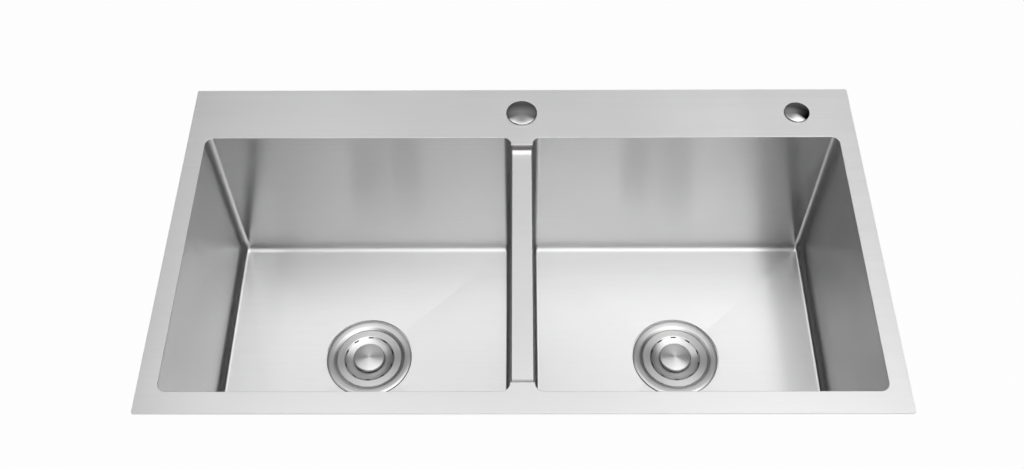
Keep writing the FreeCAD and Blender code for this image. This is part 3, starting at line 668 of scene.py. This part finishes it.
def plain_material(name, colour, rough, metal=0.0, scale=60.0, spread=0.12, bump=0.3, height=0.1 * MM):
    """Rubber, plastic or cast metal, mottled and slightly uneven."""
    if name in bpy.data.materials:
        return bpy.data.materials[name]
    material, tree, shader = blank_material(name)
    place = add_node(tree, "ShaderNodeTexCoord")
    slow = group_node(tree, "Slow changes")
    slow.inputs["Scale"].default_value = scale
    tree.links.new(place.outputs["Object"], slow.inputs["Vector"])
    mottling = ramp(tree, slow.outputs["Clouds"], 1 - spread, 1.0)
    tree.links.new(tone(tree, colour, mottling), shader.inputs["Base Color"])
    matting = ramp(tree, slow.outputs["Specks"], rough * 0.85, rough * 1.15)
    tree.links.new(matting, shader.inputs["Roughness"])
    shader.inputs["Metallic"].default_value = metal
    uneven = add_node(tree, "ShaderNodeBump", values={"Strength": bump, "Distance": height})
    tree.links.new(slow.outputs["Specks"], uneven.inputs["Height"])
    tree.links.new(uneven.outputs[0], shader.inputs["Normal"])
    return material


def sheet_steel():
    """The brushed steel of the deck, the bowls and the bridge."""
    finish = bpy.context.scene.sink_finish
    return steel_material("Brushed sheet", finish.steel, finish.sheet_gloss, finish.sheet_grain, 1500, 9)


def spun_steel():
    """The turned steel of the strainers, baskets and knobs."""
    finish = bpy.context.scene.sink_finish
    return steel_material("Spun steel", finish.spun, 0.31, 0.85, 2600, 30, depth=1.5, wave=0.2)


def give(node, material):
    """Put a material on a node of the frame."""
    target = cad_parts[node]
    target.data.materials.clear()
    target.data.materials.append(material)
    for polygon in target.data.polygons:
        polygon.material_index = 0


# Operators


class SINK_OT_deck(bpy.types.Operator):
    """Build the deck panel round both bowls"""

    bl_idname = "sink.deck"
    bl_label = "Deck"

    def execute(self, context):
        finish_piece(build_deck(), "deck", "sink", sheet_steel(), ["deck_panel"])
        return {"FINISHED"}


class SINK_OT_bowls(bpy.types.Operator):
    """Build the two bowls"""

    bl_idname = "sink.bowls"
    bl_label = "Bowls"

    def execute(self, context):
        for side, sign in SIDES:
            bm, creases = build_bowl(side, sign)
            finish_piece(
                bm, f"bowl_{side}", "sink", sheet_steel(), [f"{side}_bowl"],
                creases=creases, thick=context.scene.sink_sizes.sheet,
            )
        return {"FINISHED"}


class SINK_OT_bridge(bpy.types.Operator):
    """Build the lowered bridge between the bowls"""

    bl_idname = "sink.bridge"
    bl_label = "Bridge"

    def execute(self, context):
        finish = context.scene.sink_finish
        bridge = finish_piece(
            build_bridge(), "bridge", "sink", sheet_steel(), ["divider_bridge"]
        )
        # A darker, rough metal for the bridge's upright ends: painted shade of the gap under the deck's
        # edge
        painted_shade = plain_material("Matt weld", finish.weld, 0.5, metal=1.0, scale=150)
        bridge.data.materials.append(painted_shade)
        return {"FINISHED"}


class SINK_OT_strainers(bpy.types.Operator):
    """Build the strainers' flanges and cups"""

    bl_idname = "sink.strainers"
    bl_label = "Strainers"

    def execute(self, context):
        section = in_millimetres([
            (55.5, -1.2, 0.15), (55.5, -0.8, 0.3), (52.8, 0, 1.4), (46.5, -0.3, 1.4), (42.3, -2.2, 0.3),
            (42.3, -3.2, 0), (39.5, -3.2, 0.4), (39.5, -40.8, 1), (19, -48.8, 1), (19, -66.8, 0),
            (21, -66.8, 0.3), (21, -50.4, 1), (41.1, -42.4, 1), (41.1, -32, 0), (43.5, -32, 0.4),
            (43.5, -2.7, 0), (47.5, -1.2, 0),
        ])
        for side, _ in SIDES:
            node = f"{side}_strainer_body"
            middle = axis_of(node)
            middle.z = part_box(node)[1].z
            finish_piece(
                turned_section(section, middle), f"strainer_{side}", "sink", spun_steel(),
                [node], turned_about=middle,
            )
        return {"FINISHED"}


class SINK_OT_baskets(bpy.types.Operator):
    """Build the lift-out baskets, each a rim, a shallow saucer and a pierced cup"""

    bl_idname = "sink.baskets"
    bl_label = "Baskets"

    def execute(self, context):
        section = in_millimetres([
            (41.8, -1, 0.2), (41.8, 0, 0.4), (32.8, 0, 0.6), (31.95, -0.45, 0), (30.55, -1.1, 0),
            (28, -1.85, 0), (25, -2.45, 0), (22, -2.85, 0), (19.5, -3.1, 1), (19.15, -6.2, 0),
            (17.68, -23.2, 0), (17, -31, 5), (3.08, -31, 0), (3.08, -32, 0), (18, -32, 6),
            (18.76, -23.2, 0), (20.24, -6.2, 0), (20.5, -4.1, 0.4), (25, -3.5, 0), (28, -2.9, 0),
            (30.5, -2.1, 0), (31.95, -1.45, 0), (33, -1, 0.3),
        ])
        for side, _ in SIDES:
            node = f"{side}_basket"
            middle = axis_of(node)
            middle.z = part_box(node)[1].z
            bm = turned_section(section, middle, steps=120)
            cut_slots(bm, middle, (30.5 * MM, 32 * MM), (-3 * MM, -0.4 * MM))
            cut_slots(bm, middle, (17.5 * MM, 20.4 * MM), (-23.2 * MM, -6.2 * MM))
            finish_piece(
                bm, f"basket_{side}", node, spun_steel(), [node], turned_about=middle
            )
        return {"FINISHED"}


class SINK_OT_knobs(bpy.types.Operator):
    """Build the domed knobs in the middle of the baskets"""

    bl_idname = "sink.knobs"
    bl_label = "Knobs"

    def execute(self, context):
        section = in_millimetres([
            (0, 0, 0), (9.75, 0, 9.7), (19.5, -1.6, 0.3), (20.5, -2.6, 0.4), (20.5, -3.6, 0.5),
            (17.5, -5.6, 0.5), (6.5, -6.6, 0.5), (6.5, -12.6, 0), (0, -12.6, 0),
        ])
        for side, _ in SIDES:
            node = f"{side}_knob"
            middle = axis_of(node)
            middle.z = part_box(node)[1].z
            finish_piece(
                turned_section(section, middle), f"knob_{side}", f"{side}_stopper",
                spun_steel(), [node], turned_about=middle,
            )
        return {"FINISHED"}


class SINK_OT_plugs(bpy.types.Operator):
    """Build the polished plugs of the two holes"""

    bl_idname = "sink.plugs"
    bl_label = "Plugs"

    def execute(self, context):
        finish = context.scene.sink_finish
        mirror = steel_material(
            "Polished steel", finish.polish, 0.06, 0.0, 3000, 60, depth=0.1, wave=0.05, spread=0.02
        )
        for plug in PLUGS:
            node = f"{plug}_cover"
            low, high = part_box(node)
            radius = (high.x - low.x) / 2
            middle = axis_of(node)
            middle.z = high.z
            rise, brim, stud, end = 1.8 * MM, -2.6 * MM, 3 * MM, low.z - high.z
            sphere = (radius ** 2 + rise ** 2) / (2 * rise)
            bend = sphere * math.tan(math.asin(radius / sphere) / 2)
            section = [
                (0, 0, 0), (bend, 0, bend * 0.98), (radius, -rise, 0.4 * MM), (radius, brim, 0.2 * MM),
                (stud, brim, 0), (stud, end, 0.5 * MM), (0, end, 0),
            ]
            finish_piece(
                turned_section(section, middle), f"plug_{plug}", "sink", mirror,
                [node], turned_about=middle,
            )
        return {"FINISHED"}


class SINK_OT_fittings(bpy.types.Operator):
    """Give the smaller parts under the deck and in the strainers their finishes"""

    bl_idname = "sink.fittings"
    bl_label = "Fittings"

    def execute(self, context):
        finish = context.scene.sink_finish
        rubber = plain_material("Rubber", finish.rubber, 0.55, scale=90)
        foam = plain_material("Foam seal", finish.foam, 0.8, scale=300, bump=0.8)
        pad = plain_material("Sound pad", finish.pad, 0.72, scale=120, bump=0.7, height=0.3 * MM)
        fibre = plain_material("Pressed fibre", finish.fibre, 0.85, scale=400, spread=0.3)
        plastic = plain_material("Nut plastic", finish.plastic, 0.42, scale=40, spread=0.05)
        brass = plain_material("Brass", finish.brass, 0.34, metal=1.0, scale=70)
        zinc = plain_material("Zinc plate", finish.zinc, 0.38, metal=1.0, scale=110, spread=0.2)
        drawn = plain_material("Drawn tube", finish.spun, 0.16, metal=1.0, scale=30, spread=0.05, bump=0.05)
        looks = {
            "stopper_seal": rubber, "flange_gasket": rubber, "sink_washer": rubber, "tail_washer": rubber,
            "friction_ring": fibre, "lock_nut": plastic, "coupling_nut": plastic, "tailpiece": drawn,
            "post": drawn, "stopper_clip": drawn, "floor_pad": pad, "front_pad": pad, "rear_pad": pad,
            "side_pad": pad,
        }
        for side, _ in SIDES:
            for part, material in looks.items():
                give(f"{side}_{part}", material)
        for plug in PLUGS:
            for part, material in (("gasket", rubber), ("plate", zinc), ("wing_nut", brass)):
                give(f"{plug}_{part}", material)
        give("rim_seal", foam)
        return {"FINISHED"}


def white_material(name, glow):
    """Pale stage material that the camera sees as white, with the sink's shadow on it."""
    material, tree, shader = blank_material(name)
    shader.inputs["Base Color"].default_value = (0.86, 0.86, 0.86, 1)
    shader.inputs["Roughness"].default_value = 0.9
    shader.inputs["Specular IOR Level"].default_value = 0.1
    path = add_node(tree, "ShaderNodeLightPath")
    seen = math_node(tree, "MAXIMUM", path.outputs["Is Camera Ray"], path.outputs["Is Glossy Ray"])
    seen = math_node(tree, "MAXIMUM", seen, path.outputs["Is Transmission Ray"])
    light = add_node(tree, "ShaderNodeEmission", values={"Strength": 1.0, "Color": (1, 1, 1, 1)})
    mix = add_node(tree, "ShaderNodeMixShader")
    tree.links.new(math_node(tree, "MULTIPLY", seen, glow), mix.inputs[0])
    tree.links.new(shader.outputs[0], mix.inputs[1])
    tree.links.new(light.outputs[0], mix.inputs[2])
    tree.links.new(mix.outputs[0], tree.nodes["Material Output"].inputs["Surface"])
    return material


# How bright the dome is at each height, from the horizon to overhead, in eight directions clockwise
HEIGHTS = (0.0, 0.4, 0.6, 0.74, 0.82, 0.9, 1.0)
SKY = (
    (1.06, 0.16, 0.11, 0.31, 0.31, 0.5, 2.6),  # rear
    (0.64, 0.11, 0.0, 0.0, 0.0, 2.23, 2.6),  # rear right
    (0.64, 0.11, 0.0, 0.0, 0.0, 3.06, 2.6),  # right
    (0.64, 0.11, 0.0, 0.0, 0.63, 3.55, 2.6),  # front right
    (0.64, 0.11, 0.0, 1.57, 2.32, 1.79, 2.6),  # front
    (0.64, 0.11, 0.0, 0.0, 0.0, 0.0, 2.6),  # front left
    (0.64, 0.11, 0.0, 0.0, 0.0, 0.0, 2.6),  # left
    (0.64, 0.11, 0.0, 0.0, 0.0, 2.6, 2.6),  # rear left
)


def make_world():
    """A dome that is bright overhead and dark low down, and white where the camera sees it."""
    world = bpy.data.worlds.new("Studio dome")
    bpy.context.scene.world = world
    world.use_nodes = True
    tree = world.node_tree
    tree.nodes.clear()
    place = add_node(tree, "ShaderNodeTexCoord")
    split = add_node(tree, "ShaderNodeSeparateXYZ")
    tree.links.new(place.outputs["Generated"], split.inputs[0])
    bearing = math_node(tree, "ARCTAN2", split.outputs[0], split.outputs[1])
    sector = math.tau / len(SKY)
    total = 0.0
    for index, levels in enumerate(SKY):
        facing = math_node(tree, "COSINE", math_node(tree, "SUBTRACT", bearing, sector * index), 0.0)
        away = math_node(tree, "MINIMUM", math_node(tree, "ARCCOSINE", facing, 0.0), sector)
        swell = math_node(tree, "COSINE", math_node(tree, "MULTIPLY", away, math.pi / sector), 0.0)
        part = math_node(tree, "MULTIPLY", math_node(tree, "ADD", swell, 1.0), 0.5)
        sky = add_node(tree, "ShaderNodeValToRGB")
        tree.links.new(split.outputs[2], sky.inputs[0])
        brightest = max(levels)
        for number, (height, level) in enumerate(zip(HEIGHTS, levels)):
            elements = sky.color_ramp.elements
            stop = elements[number] if number < 2 else elements.new(height)
            stop.position = height
            stop.color = [level / brightest] * 3 + [1]
        strength = math_node(tree, "MULTIPLY", sky.outputs[0], brightest)
        total = math_node(tree, "ADD", math_node(tree, "MULTIPLY", strength, part), total)
    dome = add_node(tree, "ShaderNodeBackground")
    tree.links.new(total, dome.inputs["Strength"])
    path = add_node(tree, "ShaderNodeLightPath")
    plain = add_node(tree, "ShaderNodeBackground", values={"Color": (1, 1, 1, 1), "Strength": 1.0})
    mix = add_node(tree, "ShaderNodeMixShader")
    seen = math_node(tree, "MAXIMUM", path.outputs["Is Camera Ray"], path.outputs["Is Transmission Ray"])
    tree.links.new(seen, mix.inputs[0])
    tree.links.new(dome.outputs[0], mix.inputs[1])
    tree.links.new(plain.outputs[0], mix.inputs[2])
    end = add_node(tree, "ShaderNodeOutputWorld")
    tree.links.new(mix.outputs[0], end.inputs["Surface"])


class SINK_OT_stage(bpy.types.Operator):
    """Set up the camera, the light, the worktop and the floor"""

    bl_idname = "sink.stage"
    bl_label = "Stage"

    def execute(self, context):
        studio = context.scene.sink_studio
        context.scene.view_settings.view_transform = "Standard"
        make_world()

        hole, edge = (
            box_corners(
                deck_low.x - grow, deck_high.x + grow, deck_low.y - grow, deck_high.y + grow, radius
            )
            for grow, radius in (
                (-studio.cutout, studio.cutout_corner), (studio.margin, studio.worktop_corner)
            )
        )
        bm = bmesh.new()
        loops = ((hole, -studio.worktop), (hole, 0), (edge, 0), (edge, -studio.worktop))
        rings = [ring_of(bm, corners, height) for corners, height in loops]
        join_rings(bm, rings + rings[:1])
        bmesh.ops.recalc_face_normals(bm, faces=bm.faces)
        self.put(bm, "worktop", white_material("White worktop", studio.glow))

        bm = bmesh.new()
        level = Matrix.Translation((0, 0, -studio.ground))
        bmesh.ops.create_grid(bm, x_segments=4, y_segments=4, size=6, matrix=level)
        self.put(bm, "studio_floor", white_material("White floor", studio.glow))

        reach = math.cos(studio.pitch)
        ahead = Vector((
            math.sin(studio.yaw) * reach, math.cos(studio.yaw) * reach, -math.sin(studio.pitch)
        ))
        right = Vector((math.cos(studio.yaw), -math.sin(studio.yaw), 0))
        up = right.cross(ahead)
        lean_right = math.cos(studio.roll) * right + math.sin(studio.roll) * up
        lean_up = math.cos(studio.roll) * up - math.sin(studio.roll) * right
        view = bpy.data.cameras.new("Camera")
        view.lens = studio.lens
        view.sensor_width = 36
        camera = bpy.data.objects.new("Camera", view)
        turn = Matrix((lean_right, lean_up, -ahead)).transposed().to_4x4()
        camera.matrix_world = Matrix.Translation(studio.place) @ turn
        context.scene.collection.objects.link(camera)
        context.scene.camera = camera
        return {"FINISHED"}

    def put(self, bm, name, material):
        """Add a piece of the stage."""
        mesh = bpy.data.meshes.new(name)
        bm.to_mesh(mesh)
        bm.free()
        mesh.materials.append(material)
        thing = bpy.data.objects.new(name, mesh)
        bpy.context.scene.collection.objects.link(thing)


OPERATORS = (
    SINK_OT_deck, SINK_OT_bowls, SINK_OT_bridge, SINK_OT_strainers, SINK_OT_baskets, SINK_OT_knobs,
    SINK_OT_plugs, SINK_OT_fittings, SINK_OT_stage,
)
GROUPS = (("sink_sizes", SinkSizes), ("sink_finish", SinkFinish), ("sink_studio", SinkStudio))


class SINK_PT_panel(bpy.types.Panel):
    """Lists the sink's pieces and its sizes"""

    bl_label = "Kitchen Sink"
    bl_space_type = "VIEW_3D"
    bl_region_type = "UI"
    bl_category = "Sink"

    def draw(self, context):
        for operator in OPERATORS:
            self.layout.operator(operator.bl_idname)
        for name, group in GROUPS:
            column = self.layout.column()
            for label in group.__annotations__:
                column.prop(getattr(context.scene, name), label)


def register():
    for name, group in GROUPS:
        bpy.utils.register_class(group)
        setattr(bpy.types.Scene, name, bpy.props.PointerProperty(type=group))
    for operator in (*OPERATORS, SINK_PT_panel):
        bpy.utils.register_class(operator)


def unregister():
    for operator in (SINK_PT_panel, *OPERATORS[::-1]):
        bpy.utils.unregister_class(operator)
    for name, group in GROUPS[::-1]:
        delattr(bpy.types.Scene, name)
        bpy.utils.unregister_class(group)


def main():
    register()
    for operator in OPERATORS:
        section, name = operator.bl_idname.split(".")
        getattr(getattr(bpy.ops, section), name)()


if __name__ == "__main__":
    main()
